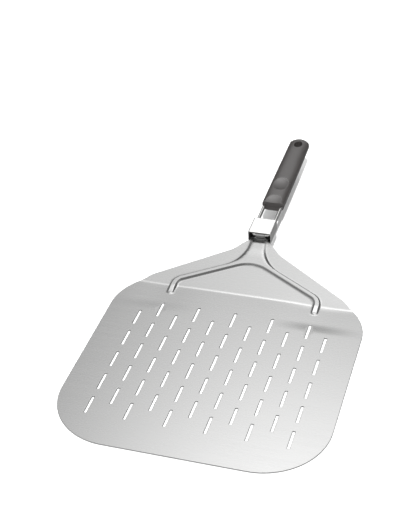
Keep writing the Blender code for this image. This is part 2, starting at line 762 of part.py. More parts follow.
def build():
    clear_scene()
    brushed = material("brushed_steel", (0.66, 0.66, 0.66), 0.36, 1.0)
    polished = material("polished_steel", (0.78, 0.78, 0.78), 0.14, 1.0)
    soft_black = material("grip_plastic", (0.085, 0.080, 0.080), 0.55, 0.0)
    black = material("guide_plastic", (0.015, 0.015, 0.015), 0.45, 0.0)
    zinc = material("screw_steel", (0.60, 0.60, 0.62), 0.30, 1.0)

    make_blade(brushed)

    hinge = bpy.data.objects.new("hinge_axis", None)
    hinge.location = (0.0, EYE_CENTRE_Y, EYE_CENTRE_Z)
    hinge.rotation_euler = (HANDLE_TILT, 0.0, 0.0)
    bpy.context.scene.collection.objects.link(hinge)

    make_wire(polished, hinge)
    make_sleeve(polished, hinge)
    make_guide(black, hinge)
    shared = shared_cutters(hinge)
    make_upper_shell(soft_black, hinge, shared)
    make_lower_shell(soft_black, hinge, shared)
    for name, y in SCREWS.items():
        make_screw(name, y, zinc, hinge)
    bpy.context.view_layer.update()


build()
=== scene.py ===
"""Folding pizza peel: the looks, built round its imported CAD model. Metres, +Z up.

The blade, the wire, the sleeve and the two grip shells are rebuilt as fine meshes where their CAD nodes are.
The sleeve's guide and the screws stay CAD nodes, with softened edges. Every finish is procedural.
"""

import json
import math

import bmesh
import bpy
import numpy as np
from mathutils import Matrix, Vector
from mathutils.geometry import delaunay_2d_cdt


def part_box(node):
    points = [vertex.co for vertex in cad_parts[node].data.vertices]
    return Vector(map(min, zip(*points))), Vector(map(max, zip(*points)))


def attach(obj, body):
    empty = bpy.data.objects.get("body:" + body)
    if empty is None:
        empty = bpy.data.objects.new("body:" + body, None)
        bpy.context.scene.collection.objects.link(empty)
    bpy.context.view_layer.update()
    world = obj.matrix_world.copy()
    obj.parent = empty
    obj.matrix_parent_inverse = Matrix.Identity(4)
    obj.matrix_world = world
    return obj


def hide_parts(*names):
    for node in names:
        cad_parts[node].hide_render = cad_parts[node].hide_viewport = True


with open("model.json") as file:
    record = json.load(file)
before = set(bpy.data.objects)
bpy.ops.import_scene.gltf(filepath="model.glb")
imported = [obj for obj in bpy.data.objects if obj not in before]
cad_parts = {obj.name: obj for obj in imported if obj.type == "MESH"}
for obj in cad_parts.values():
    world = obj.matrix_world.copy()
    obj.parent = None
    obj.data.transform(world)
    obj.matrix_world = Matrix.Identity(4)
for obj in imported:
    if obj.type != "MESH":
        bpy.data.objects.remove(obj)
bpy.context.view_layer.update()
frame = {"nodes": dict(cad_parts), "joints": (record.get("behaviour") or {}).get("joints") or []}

# ---------------------------------------------------------------- the CAD model's frame and dimensions

JOINTS = {joint["name"]: joint for joint in frame["joints"]}
HINGE = Vector(JOINTS["handle_fold"]["pos_m"])
SLIDE_AXIS = JOINTS["sleeve_slide"]["axis"]
HANDLE = Matrix.Translation(HINGE) @ Matrix.Rotation(math.atan2(SLIDE_AXIS[2], SLIDE_AXIS[1]), 4, "X")

# Blade: one sheet, drawn flat and then bent along its profile. Its two bends are softer than the CAD's.
SHEET = 0.0012
BLADE_FRONT_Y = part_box("blade")[0].y
BLADE_HALF_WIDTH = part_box("blade")[1].x
FRONT_CORNER_R = 0.074
FRONT_CORNER_STEPS = 24
REAR_ARC_R = 0.068
REAR_ARC_STEPS = 16
REAR_ARC_Y = -0.0587
# The bend, the panel behind it, and the neck with the eye rolled at its end.
BEND_Y = -0.0092
BEND_R = 0.016
PANEL_RISE = math.radians(22.0)
NECK_BEND_Y = 0.0483
NECK_BEND_R = 0.150
NECK_RISE = math.radians(18.6)
EYE_BORE_R = 0.0023
EYE_TURN = math.radians(285.0)
EYE_HALF_WIDTH = 0.0060
SHOULDER_BACK = 0.0042
SHOULDER_HALF_WIDTH = 0.0110
SHOULDER_RUN = 0.0030
SHOULDER_STEP = 0.0010
SHOULDER_CORNER_R = 0.0008
EYE_CORNER_R = 0.0006
# The outline's slanted edge, from the rear corner to the neck: x and the distance behind the bend.
REAR_CORNER_R = 0.012
EDGE_POINTS = ((0.1196, 0.0109), (0.0290, 0.0624))
EDGE_CORNER_R = 0.030
NECK_HALF_WIDTH = 0.0150
NECK_BACK = 0.0112

# The slots: every other column is shifted back by half a pitch.
SLOT_LENGTH = 0.026
SLOT_WIDTH = 0.0030
SLOT_CORNER_R = 0.0007
SLOT_COLUMNS = 11
SLOT_ROWS = 5
SLOT_PITCH_X = 0.0225
SLOT_PITCH_Y = 0.0387
SLOT_LAST_Y = -0.0587

# The raised bead. A name with V is a distance along the sheet from the middle of the bend. The bead is lower
# at its two front ends (END) and on the neck (NECK_DROP), and it fades out before the eye.
BEAD_HEIGHT = 0.0028
BEAD_WALL = 0.0023
BEAD_CONTOURS = (0.0, 0.0003, 0.0006, 0.0009, 0.0012, 0.0015, 0.0018, 0.0021, 0.0025, 0.0030, 0.0035)
BEAD_OUTER_SOFTNESS = 0.9
BEAD_SOFTNESS_RUN = 0.006
BEAD_OUTER_X = 0.0940
BEAD_INNER_X = 0.0846
BEAD_END_V = -0.0135
BEAD_SLOPE = 0.479
BEAD_INNER_APEX_V = 0.0461
BEAD_OUTER_APEX_V = 0.0552
BEAD_NECK_X = 0.0115
BEAD_NECK_V = 0.0900
BEAD_KNEE_INNER_R = 0.008
BEAD_KNEE_OUTER_R = 0.018
BEAD_NECK_R = 0.040
BEAD_APEX_R = 0.041
BEAD_CAP_ROUNDNESS = 0.999
BEAD_FADE_START = 0.0135
BEAD_FADE_END = 0.0050
BEAD_NECK_DROP = 0.5
BEAD_NECK_DROP_V = 0.0480
BEAD_NECK_DROP_RUN = 0.020
BEAD_END_SHARE = 0.35
BEAD_END_RUN = 0.014
# The stamping also pulls the flat sheet down a little in front of the bead's ends: middle, reach and depth.
DROPS = ((0.0980, 0.032, 0.00080), (-0.1000, 0.034, 0.00035))
DROP_START_V = -0.0500
DROP_RUN = 0.016
RISE_START_V = -0.008
RISE_RUN = 0.020
# The floor is just below the deeper of them.
FLOOR_Z = -0.0010

# How finely the blank is cut up: its points' spacing, and how far they stay off edges and the bead's walls.
# Behind the slots they are closer together.
GRID_FRONT_STEP = (0.0075, 0.007)
GRID_REAR_STEP = (0.0025, 0.0024)
GRID_REAR_START = -0.067
GRID_FRONT_MARGIN = 0.004
GRID_GAP = 0.001
GRID_EYE_MARGIN = 0.006
GRID_REACH = 0.15
EDGE_CLEARANCE = 0.0012
SLOT_CLEARANCE = 0.0011
BEAD_CLEARANCE_OUT = 0.0009
BEAD_CLEARANCE_IN = 0.0006
# Rows of points across the curved stretches: which stretch, and how many steps.
CURVED_STRETCHES = ((1, 12), (3, 6), (5, 48))

# The sheet's rounded edge: distance from the edge, and half the thickness there.
RIM_PROFILE = ((0.0, 0.00030), (0.00010, 0.00050), (0.00028, 0.00060), (0.00055, 0.00060))

# Handle wire, in the handle's frame: y along the legs from the hinge axis, z up from it.
ROD_R = 0.00215
LEG_X = 0.0109
ELBOW_R = 0.0046
HOOK_R = 0.0028
LEG_END = 0.160
HOOK_LENGTH = 0.0035
ROD_SIDES = 28
ROD_END_SHARE = 0.8

# Lock sleeve: a folded tube. Its rows of points beside the rounded edges keep the flat sides flat.
SLEEVE_FRONT = -0.0055
SLEEVE_LENGTH = 0.0300
SLEEVE_HALF_WIDTH = 0.0147
SLEEVE_TOP = 0.0070
SLEEVE_BOTTOM = -0.0080
SLEEVE_WALL = 0.0010
SLEEVE_CORNER_R = 0.0016
SLEEVE_SEAM = 0.0008
SLEEVE_SUPPORT = 0.0005
SLEEVE_RIM_R = SLEEVE_WALL * 0.22

# Grip: its sections are superellipses, squarer at the front and below.
GRIP_FRONT = 0.0610
GRIP_END = 0.2155
GRIP_HALF_WIDTH = 0.0140
GRIP_TOP = 0.0073
GRIP_BOTTOM = -0.0066
GRIP_WIDEST_Z = 0.0025
GRIP_TAIL_LENGTH = 0.0070
GRIP_TAIL_TIP = 0.00002
GRIP_TAIL_CORNER = 1.25
GRIP_TAIL_DROP = 0.22
GRIP_TAPER = 0.045
GRIP_SQUARENESS = 3.0
GRIP_SQUARENESS_DROP = 0.8
GRIP_LOWER_SQUARENESS = 4.0
GRIP_EDGE_R = 0.0011
GRIP_SIDES = 160
GRIP_EDGE_STEPS = 6
GRIP_STEPS = 190
GRIP_TAIL_STEPS = 40
PARTING_GAP = 0.0003
LOWER_SHELL_END = 0.2110
HOLE_Y = 0.2006
HOLE_R = 0.0053
HOLE_STRETCH = 1.38
HOLE_FLARE = 0.0004
HOLE_OVERSHOOT = 0.004
HOLE_SIDES = 64
# Thumb dimples in the grip's top: middle along the handle, half their length, and depth.
DIMPLES = ((0.1035, 0.0138, 0.0015), (0.0620, 0.0150, 0.0015))
CHANNEL_R = 0.00245
CHANNEL_SIDES = 40

# The ends of a noise texture's useful range.
NOISE_RANGE = (0.3, 0.7)

# The studio's soft patches of light: direction, sharpness and strength.
STUDIO_LIGHTS = (
    # overhead
    ((0.12, 0.05, 0.99), 7, 2.10),
    # softbox behind the peel, and a smaller one below it
    ((-0.1385, 0.590, 0.796), 55, 3.20),
    ((-0.25, 0.83, 0.49), 80, 0.80),
    # in front, at the peel's level
    ((-0.20, -0.97, 0.05), 14, 0.80),
    # fill from both sides and both front corners
    ((-1.0, -0.10, 0.25), 3, 0.50),
    ((1.0, -0.10, 0.25), 3, 0.28),
    ((-0.70, -0.70, 0.20), 4, 0.35),
    ((0.70, -0.70, 0.20), 4, 0.35),
    # the white table's light from below
    ((0.0, 0.0, -1.0), 1, 0.25),
)
STUDIO_DARK = 0.11

# The key light, a sun: energy, apparent width and where it shines from.
KEY_ENERGY = 4.2
KEY_ANGLE = math.radians(2.0)
KEY_FROM = (0.21, -0.71, 1.0)

FLOOR_WHITE = (0.86, 0.86, 0.86)
FLOOR_HALF_SIZE = 30.0

# The camera: place, turn in degrees, and lens in millimetres.
CAMERA_PLACE = (0.3291, -1.0862, 0.8803)
CAMERA_TURN = (53.543, 2.893, 16.823)
CAMERA_LENS = 80.92
CAMERA_SENSOR = 36.0


# ---------------------------------------------------------------- mesh helpers

def add_piece(name, mesh, body, finish, stands_for, smooth_angle):
    """One visible piece, riding on a CAD body in place of one of its nodes."""
    obj = bpy.data.objects.new(name, mesh)
    bpy.context.scene.collection.objects.link(obj)
    mesh.materials.clear()
    mesh.materials.append(finish)
    mesh.shade_smooth()
    mesh.set_sharp_from_angle(angle=math.radians(smooth_angle))
    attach(obj, body)
    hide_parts(stands_for)


def mesh_from(name, points, faces):
    mesh = bpy.data.meshes.new(name)
    mesh.from_pydata([tuple(point) for point in points], [], faces)
    mesh.update()
    return mesh


def mesh_of(bm, name, place=None):
    """Turns a bmesh into a mesh with its faces pointing out, in the row frame."""
    bmesh.ops.recalc_face_normals(bm, faces=bm.faces)
    mesh = bpy.data.meshes.new(name)
    bm.to_mesh(mesh)
    bm.free()
    if place is not None:
        mesh.transform(place)
    return mesh


def rounded_path(corners, closed=True, step=math.radians(6)):
    """Points of a polyline whose corners (x, y, radius) are rounded with arcs."""
    path = []
    count = len(corners)
    for i, (x, y, radius) in enumerate(corners):
        here = Vector((x, y))
        if radius == 0 or (not closed and i in (0, count - 1)):
            path.append(here)
            continue
        before = (Vector(corners[i - 1][:2]) - here).normalized()
        after = (Vector(corners[(i + 1) % count][:2]) - here).normalized()
        half = before.angle(after) / 2
        middle = here + (before + after).normalized() * (radius / math.sin(half))
        start = here + before * (radius / math.tan(half)) - middle
        turn = math.pi - 2 * half
        sense = 1 if before.x * after.y - before.y * after.x < 0 else -1
        steps = max(3, math.ceil(turn / step))
        for k in range(steps + 1):
            angle = sense * turn * k / steps
            cos, sin = math.cos(angle), math.sin(angle)
            path.append(middle + Vector((start.x * cos - start.y * sin, start.x * sin + start.y * cos)))
    return path


def inset(path, distance):
    """A closed anticlockwise path moved inwards by a distance."""
    moved = []
    for i, point in enumerate(path):
        before = (point - path[i - 1]).normalized()
        after = (path[(i + 1) % len(path)] - point).normalized()
        normal = Vector((-before.y - after.y, before.x + after.x)).normalized()
        moved.append(point + normal * (distance / max(0.3, normal.dot(Vector((-before.y, before.x))))))
    return moved


def depth_inside(path, points):
    """How far each point lies inside the closed path; negative outside."""
    start = np.array([tuple(p) for p in path])
    run = np.roll(start, -1, axis=0) - start
    run[np.abs(run).sum(axis=1) == 0] = 1e-12
    offset = points[:, None, :] - start[None]
    share = np.clip((offset * run).sum(axis=2) / (run * run).sum(axis=1), 0, 1)
    gap = np.linalg.norm(offset - share[..., None] * run, axis=2).min(axis=1)
    above = offset[..., 1] >= 0
    beyond = np.roll(above, -1, axis=1)
    with np.errstate(divide="ignore", invalid="ignore"):
        crossing = offset[..., 0] < offset[..., 1] * run[:, 0] / run[:, 1]
    crossings = ((above != beyond) & crossing).sum(axis=1)
    return np.where(crossings % 2 == 1, gap, -gap)


# ---------------------------------------------------------------- materials

def new_material(name, colour, roughness, metallic):
    made = bpy.data.materials.new(name)
    made.use_nodes = True
    shader = made.node_tree.nodes["Principled BSDF"]
    shader.inputs["Base Color"].default_value = (*colour, 1.0)
    shader.inputs["Roughness"].default_value = roughness
    shader.inputs["Metallic"].default_value = metallic
    return made, shader


def node(tree, kind, **values):
    made = tree.nodes.new(kind)
    for name, value in values.items():
        setattr(made, name, value)
    return made


def noise(tree, scale, detail, roughness):
    """A noise texture in the piece's own space, with features 1/scale metres long on each axis."""
    place = node(tree, "ShaderNodeTexCoord")
    stretch = node(tree, "ShaderNodeMapping")
    stretch.inputs["Scale"].default_value = scale
    texture = node(tree, "ShaderNodeTexNoise")
    texture.inputs["Scale"].default_value = 1.0
    texture.inputs["Detail"].default_value = detail
    texture.inputs["Roughness"].default_value = roughness
    tree.links.new(place.outputs["Object"], stretch.inputs["Vector"])
    tree.links.new(stretch.outputs["Vector"], texture.inputs["Vector"])
    return texture.outputs["Fac"]


def spread(tree, value, low, high):
    """A noise value, whose useful range is NOISE_RANGE, mapped to low and high."""
    ranged = node(tree, "ShaderNodeMapRange")
    for name, number in zip(("From Min", "From Max", "To Min", "To Max"), (*NOISE_RANGE, low, high)):
        ranged.inputs[name].default_value = number
    tree.links.new(value, ranged.inputs["Value"])
    return ranged.outputs["Result"]


def maths(tree, operation, first, second):
    made = node(tree, "ShaderNodeMath", operation=operation)
    for socket, value in zip(made.inputs, (first, second)):
        if isinstance(value, (int, float)):
            socket.default_value = value
        else:
            tree.links.new(value, socket)
    return made.outputs["Value"]


def blend(tree, first, share, second):
    """That share of the first value, and the rest of the second."""
    part, rest = maths(tree, "MULTIPLY", first, share), maths(tree, "MULTIPLY", second, 1 - share)
    return maths(tree, "ADD", part, rest)


def tone(tree, value, colour, contrast):
    """The colour, a little darker where the noise is low and lighter where it is high."""
    ramp = node(tree, "ShaderNodeValToRGB")
    ramp.color_ramp.elements[0].color = (*(c * (1 - contrast) for c in colour), 1.0)
    ramp.color_ramp.elements[1].color = (*(c * (1 + contrast) for c in colour), 1.0)
    tree.links.new(spread(tree, value, 0, 1), ramp.inputs["Fac"])
    return ramp.outputs["Color"]


def bump(tree, shader, height, distance):
    made = node(tree, "ShaderNodeBump")
    made.inputs["Distance"].default_value = distance
    made.inputs["Strength"].default_value = 1.0
    tree.links.new(height, made.inputs["Height"])
    tree.links.new(made.outputs["Normal"], shader.inputs["Normal"])


def brushed_steel(name, colour, roughness, across, along, grain_depth):
    """Steel with scratches along X, as fine as across and along say, and slow changes in tone."""
    made, shader = new_material(name, colour, roughness, 1.0)
    tree = made.node_tree
    fine = noise(tree, (along, across, across), 4.0, 0.65)
    coarse = noise(tree, (along / 4, across / 7, across / 7), 3.0, 0.5)
    cloud = noise(tree, (9, 9, 9), 2.0, 0.4)
    grain = blend(tree, fine, 0.6, coarse)
    mixed = blend(tree, grain, 0.75, cloud)
    tree.links.new(spread(tree, mixed, roughness - 0.03, roughness + 0.03), shader.inputs["Roughness"])
    tree.links.new(tone(tree, mixed, colour, 0.02), shader.inputs["Base Color"])
    bump(tree, shader, grain, grain_depth)
    return made


def moulded_plastic(name, colour, roughness, grain, grain_depth, sheen):
    """Fine matt moulded texture, with a slow drift in tone and in polish."""
    made, shader = new_material(name, colour, roughness, 0.0)
    shader.inputs["Specular IOR Level"].default_value = sheen
    tree = made.node_tree
    texture = noise(tree, (grain, grain, grain), 3.0, 0.6)
    cloud = noise(tree, (45, 45, 45), 3.0, 0.5)
    tree.links.new(spread(tree, cloud, roughness - 0.06, roughness + 0.06), shader.inputs["Roughness"])
    tree.links.new(tone(tree, blend(tree, texture, 0.5, cloud), colour, 0.12), shader.inputs["Base Color"])
    bump(tree, shader, texture, grain_depth)
    return made


# ---------------------------------------------------------------- blade

def sheet_profile():
    """The stretches of the mid-surface as (length, curvature), and the length up to each one's start."""
    bend_run = BEND_R * math.tan(PANEL_RISE / 2)
    neck_turn = PANEL_RISE - NECK_RISE
    neck_run = NECK_BEND_R * math.tan(neck_turn / 2)
    eye_r = EYE_BORE_R + SHEET / 2
    eye_start_y = HINGE.y + eye_r * math.sin(NECK_RISE)
    stretches = [
        (BEND_Y - bend_run - BLADE_FRONT_Y, 0.0),
        (BEND_R * PANEL_RISE, 1 / BEND_R),
        ((NECK_BEND_Y - BEND_Y) / math.cos(PANEL_RISE) - bend_run - neck_run, 0.0),
        (NECK_BEND_R * neck_turn, -1 / NECK_BEND_R),
        ((eye_start_y - NECK_BEND_Y) / math.cos(NECK_RISE) - neck_run, 0.0),
        (eye_r * EYE_TURN, 1 / eye_r),
    ]
    starts = [BLADE_FRONT_Y]
    for length, _ in stretches:
        starts.append(starts[-1] + length)
    return stretches, starts


STRETCHES, STARTS = sheet_profile()
PANEL_V0 = (STARTS[1] + STARTS[2]) / 2
EYE_START = STARTS[5]


def on_profile(s):
    """(y, z, heading) of the mid-surface at the developed length s."""
    y, z, heading = BLADE_FRONT_Y, SHEET / 2, 0.0
    for (length, curvature), start in zip(STRETCHES, STARTS):
        run = min(length, s - start)
        if run <= 0:
            break
        if curvature:
            turned = heading + run * curvature
            y += (math.sin(turned) - math.sin(heading)) / curvature
            z += (math.cos(heading) - math.cos(turned)) / curvature
            heading = turned
        else:
            y += run * math.cos(heading)
            z += run * math.sin(heading)
    return y, z, heading


def blade_outline():
    """The flat blank, anticlockwise, as (x, s). Its right half is mirrored."""
    corner_x = BLADE_HALF_WIDTH - FRONT_CORNER_R
    right = []
    for k in range(FRONT_CORNER_STEPS + 1):
        angle = math.pi / 2 * (k / FRONT_CORNER_STEPS - 1)
        right.append((corner_x + FRONT_CORNER_R * math.cos(angle),
                      BLADE_FRONT_Y + FRONT_CORNER_R * (1 + math.sin(angle))))
    rear_turn = math.asin((BEND_Y - REAR_ARC_Y) / REAR_ARC_R)
    for k in range(REAR_ARC_STEPS + 1):
        angle = rear_turn * k / REAR_ARC_STEPS
        right.append((BLADE_HALF_WIDTH - REAR_ARC_R * (1 - math.cos(angle)),
                      REAR_ARC_Y + REAR_ARC_R * math.sin(angle)))
    neck_start = STARTS[4]
    shoulder_s = EYE_START - SHOULDER_BACK
    edge = [
        (*right.pop(), REAR_CORNER_R),
        *((x, PANEL_V0 + v, EDGE_CORNER_R) for x, v in EDGE_POINTS),
        (NECK_HALF_WIDTH, neck_start + NECK_BACK, EDGE_CORNER_R),
        (SHOULDER_HALF_WIDTH, shoulder_s - SHOULDER_RUN, 0.0),
        (SHOULDER_HALF_WIDTH, shoulder_s, SHOULDER_CORNER_R),
        (EYE_HALF_WIDTH, shoulder_s + SHOULDER_STEP, 0.0),
        (EYE_HALF_WIDTH, STARTS[6], EYE_CORNER_R),
        (0.0, STARTS[6], 0.0),
    ]
    rounded = rounded_path([(*right[-1], 0.0), *edge], closed=False, step=math.radians(4))
    right += [tuple(point) for point in rounded[1:-1]]
    outline = right + [(-x, s) for x, s in reversed(right)]
    return [Vector(p) for p in outline]


def slot_middles():
    middle = SLOT_COLUMNS // 2
    for column in range(-middle, middle + 1):
        stagger = SLOT_PITCH_Y / 2 if column % 2 else 0.0
        for row in range(SLOT_ROWS):
            yield column * SLOT_PITCH_X, SLOT_LAST_Y - row * SLOT_PITCH_Y - stagger


def slot_outline():
    """One slot round the origin, anticlockwise."""
    x, y = SLOT_WIDTH / 2, SLOT_LENGTH / 2
    corners = ((x, -y), (x, y), (-x, y), (-x, -y))
    return rounded_path([(*corner, SLOT_CORNER_R) for corner in corners], step=math.radians(30))


def bead_outline():
    """The edge of the raised bead, anticlockwise, as vectors (x, s)."""
    def diagonal(apex, x):
        return PANEL_V0 + apex - BEAD_SLOPE * x

    end = PANEL_V0 + BEAD_END_V
    cap = (BEAD_OUTER_X - BEAD_INNER_X) / 2
    right = [
        (BEAD_INNER_X, diagonal(BEAD_INNER_APEX_V, BEAD_INNER_X), BEAD_KNEE_INNER_R),
        (BEAD_INNER_X, end - cap, cap * BEAD_CAP_ROUNDNESS),
        (BEAD_OUTER_X, end - cap, cap * BEAD_CAP_ROUNDNESS),
        (BEAD_OUTER_X, diagonal(BEAD_OUTER_APEX_V, BEAD_OUTER_X), BEAD_KNEE_OUTER_R),
        (BEAD_NECK_X, diagonal(BEAD_OUTER_APEX_V, BEAD_NECK_X), BEAD_NECK_R),
        (BEAD_NECK_X, PANEL_V0 + BEAD_NECK_V, 0.0),
    ]
    left = [(-x, s, radius) for x, s, radius in reversed(right)]
    apex = (0.0, diagonal(BEAD_INNER_APEX_V, 0.0), BEAD_APEX_R)
    return rounded_path([apex, *right, *left], step=math.radians(6))


def smooth(share):
    share = np.clip(share, 0.0, 1.0)
    return share * share * (3 - 2 * share)


def sheet_lift(points):
    """How far the bead, and the stamping's pull in front of its ends, lift the sheet at each (x, s)."""
    x, s = points.T
    outwards = s - PANEL_V0 + BEAD_SLOPE * np.abs(x) - (BEAD_INNER_APEX_V + BEAD_OUTER_APEX_V) / 2
    outwards /= BEAD_SOFTNESS_RUN
    wall_run = BEAD_WALL * (1 + BEAD_OUTER_SOFTNESS * smooth(outwards))
    wall = smooth(depth_inside(bead_outline(), points) / wall_run)
    fade = smooth((EYE_START - BEAD_FADE_END - s) / (BEAD_FADE_START - BEAD_FADE_END))
    fade *= BEAD_END_SHARE + (1 - BEAD_END_SHARE) * smooth((s - PANEL_V0 - BEAD_END_V) / BEAD_END_RUN)
    fade *= 1 - BEAD_NECK_DROP * smooth((s - PANEL_V0 - BEAD_NECK_DROP_V) / BEAD_NECK_DROP_RUN)
    lift = BEAD_HEIGHT * wall * fade
    v = s - PANEL_V0
    drop = smooth((v - DROP_START_V) / DROP_RUN) - smooth((v - RISE_START_V) / RISE_RUN)
    for middle_x, reach, depth in DROPS:
        lift -= depth * drop * np.exp(-((x - middle_x) / reach) ** 2)
    return lift


def off_the_edges(points, outline, bead):
    """Which points are inside the outline, and clear of it and of the bead's walls."""
    bead_depth = depth_inside(bead, points)
    off_walls = (bead_depth < -BEAD_CLEARANCE_OUT) | (bead_depth > BEAD_CONTOURS[-1] + BEAD_CLEARANCE_IN)
    return (depth_inside(outline, points) > EDGE_CLEARANCE) & off_walls


def across(step):
    """Evenly spaced x from side to side."""
    return np.arange(-GRID_REACH, GRID_REACH + step / 2, step)


def grid_points(outline, bead):
    """Extra points inside the sheet, closer together behind the slots, and none on the bead's walls."""
    def grid(start, end, step_x, step_s):
        return [(x, s) for s in np.arange(start, end, step_s) for x in across(step_x)]

    front = grid(BLADE_FRONT_Y + GRID_FRONT_MARGIN, GRID_REAR_START - GRID_GAP, *GRID_FRONT_STEP)
    rear = grid(GRID_REAR_START, EYE_START - GRID_EYE_MARGIN, *GRID_REAR_STEP)
    points = np.array(front + rear)
    clear = off_the_edges(points, outline, bead)
    for x0, y0 in slot_middles():
        near_x = np.abs(points[:, 0] - x0) < SLOT_WIDTH / 2 + SLOT_CLEARANCE
        near_y = np.abs(points[:, 1] - y0) < SLOT_LENGTH / 2 + SLOT_CLEARANCE
        clear &= ~(near_x & near_y)
    return points[clear]


def profile_stations():
    """Developed lengths where the sheet needs a row of points, because it curves there."""
    rows = []
    for stretch, steps in CURVED_STRETCHES:
        start, end = STARTS[stretch], STARTS[stretch + 1]
        rows += [start + (end - start) * k / steps for k in range(steps + 1)]
    return rows[:-1]


def row_points(s, outline, bead):
    """Points across the whole sheet at the developed length s, with none on the bead's walls."""
    row = np.array([(x, s) for x in across(GRID_REAR_STEP[0])])
    ends = (Vector((-BLADE_HALF_WIDTH, s)), Vector((BLADE_HALF_WIDTH, s)))
    return [ends[0], *(Vector(p) for p in row[off_the_edges(row, outline, bead)]), ends[1]]


def blade_blank():
    """The flat blank cut into triangles: points (x, s), half thicknesses and index triples."""
    outline = blade_outline()
    slot = slot_outline()
    bead = bead_outline()
    slots = [[p + Vector(middle) for p in slot] for middle in slot_middles()]
    points, edges = [], []
    rims = [inset(loop, sense * distance)
            for loop, sense in [(outline, 1), *((hole, -1) for hole in slots)]
            for distance, _ in RIM_PROFILE]
    for loop in rims + [inset(bead, depth) for depth in BEAD_CONTOURS]:
        first = len(points)
        points += loop
        edges += [(first + k, first + (k + 1) % len(loop)) for k in range(len(loop))]
    for s in profile_stations():
        row = row_points(s, outline, bead)
        first = len(points)
        points += row
        edges += [(first + k, first + k + 1) for k in range(len(row) - 1)]
    points += [Vector(p) for p in grid_points(outline, bead)]

    blank, _, triangles, *_ = delaunay_2d_cdt(points, edges, [], 0, 1e-7)
    flat = np.array([tuple(p) for p in blank])
    rim = np.abs(depth_inside(outline, flat))
    for hole, (x0, y0) in zip(slots, slot_middles()):
        near_x = np.abs(flat[:, 0] - x0) < SLOT_WIDTH
        near = np.flatnonzero(near_x & (np.abs(flat[:, 1] - y0) < SLOT_LENGTH))
        rim[near] = np.minimum(rim[near], np.abs(depth_inside(hole, flat[near])))
    halves = np.interp(rim, *zip(*RIM_PROFILE))
    centres = flat[np.array(triangles)].mean(axis=1)
    kept = depth_inside(outline, centres) > 0
    for hole, (x0, y0) in zip(slots, slot_middles()):
        near_x = np.abs(centres[:, 0] - x0) <= SLOT_WIDTH / 2
        near = np.flatnonzero(near_x & (np.abs(centres[:, 1] - y0) <= SLOT_LENGTH / 2))
        kept[near[depth_inside(hole, centres[near]) > 0]] = False
    return flat, halves, [tuple(t) for t, keep in zip(triangles, kept) if keep]


def blade_mesh():
    """Bends the blank along its profile and gives it the sheet's thickness, with softened edges."""
    flat, halves, triangles = blade_blank()
    lifts = sheet_lift(flat)
    used = sorted({i for triangle in triangles for i in triangle})
    index = {old: new for new, old in enumerate(used)}
    top, bottom = [], []
    for i in used:
        x, s = flat[i]
        y, z, heading = on_profile(s)
        for side, layer in ((halves[i], top), (-halves[i], bottom)):
            out = lifts[i] + side
            layer.append((x, y - out * math.sin(heading), z + out * math.cos(heading)))
    faces = [tuple(index[i] for i in triangle) for triangle in triangles]
    below = [tuple(i + len(top) for i in reversed(face)) for face in faces]
    seen = {(face[k], face[(k + 1) % 3]) for face in faces for k in range(3)}
    rims = [(b, a, a + len(top), b + len(top)) for a, b in seen if (b, a) not in seen]
    return mesh_from("blade_sheet", top + bottom, faces + below + sorted(rims))


# ---------------------------------------------------------------- handle wire

def wire_mesh():
    """The U of round rod, swept along its path, its ends rounded off."""
    corners = [
        (LEG_X - HOOK_LENGTH, LEG_END, 0.0),
        (LEG_X, LEG_END, HOOK_R),
        (LEG_X, 0.0, ELBOW_R),
        (-LEG_X, 0.0, ELBOW_R),
        (-LEG_X, LEG_END, HOOK_R),
        (HOOK_LENGTH - LEG_X, LEG_END, 0.0),
    ]
    path = rounded_path(corners, closed=False, step=math.radians(5))
    bm = bmesh.new()
    rings = []
    for i, point in enumerate(path):
        before = path[max(i - 1, 0)]
        after = path[min(i + 1, len(path) - 1)]
        ahead = (after - before).normalized()
        radius = ROD_R * (ROD_END_SHARE if i in (0, len(path) - 1) else 1.0)
        ring = []
        for k in range(ROD_SIDES):
            angle = 2 * math.pi * k / ROD_SIDES
            side, up = radius * math.cos(angle), radius * math.sin(angle)
            ring.append(bm.verts.new((point.x - ahead.y * side, point.y + ahead.x * side, up)))
        rings.append(ring)
    join_rings(bm, rings)
    return mesh_of(bm, "wire_rod", HANDLE)


def join_rings(bm, rings):
    """A closed loft through rings of the same number of points."""
    for first, second in zip(rings, rings[1:]):
        for k in range(len(first)):
            j = (k + 1) % len(first)
            bm.faces.new((first[k], first[j], second[j], second[k]))
    bm.faces.new(rings[0])
    bm.faces.new(rings[-1])


# ---------------------------------------------------------------- lock sleeve

def sleeve_section(depth):
    """The folded tube's section from one side of its seam to the other, moved inwards by depth."""
    x = SLEEVE_HALF_WIDTH - depth
    low, high = SLEEVE_BOTTOM + depth, SLEEVE_TOP - depth
    radius = SLEEVE_CORNER_R - min(depth, SLEEVE_WALL)
    flat_start = radius + SLEEVE_SUPPORT
    corners = [
        (SLEEVE_SEAM / 2, low, 0.0),
        (x - flat_start, low, 0.0), (x, low, radius), (x, low + flat_start, 0.0),
        (x, high - flat_start, 0.0), (x, high, radius), (x - flat_start, high, 0.0),
        (0.0, high, 0.0),
    ]
    right = [tuple(p) for p in rounded_path(corners, closed=False, step=math.radians(9))]
    return right + [(-x, z) for x, z in reversed(right[:-1])]


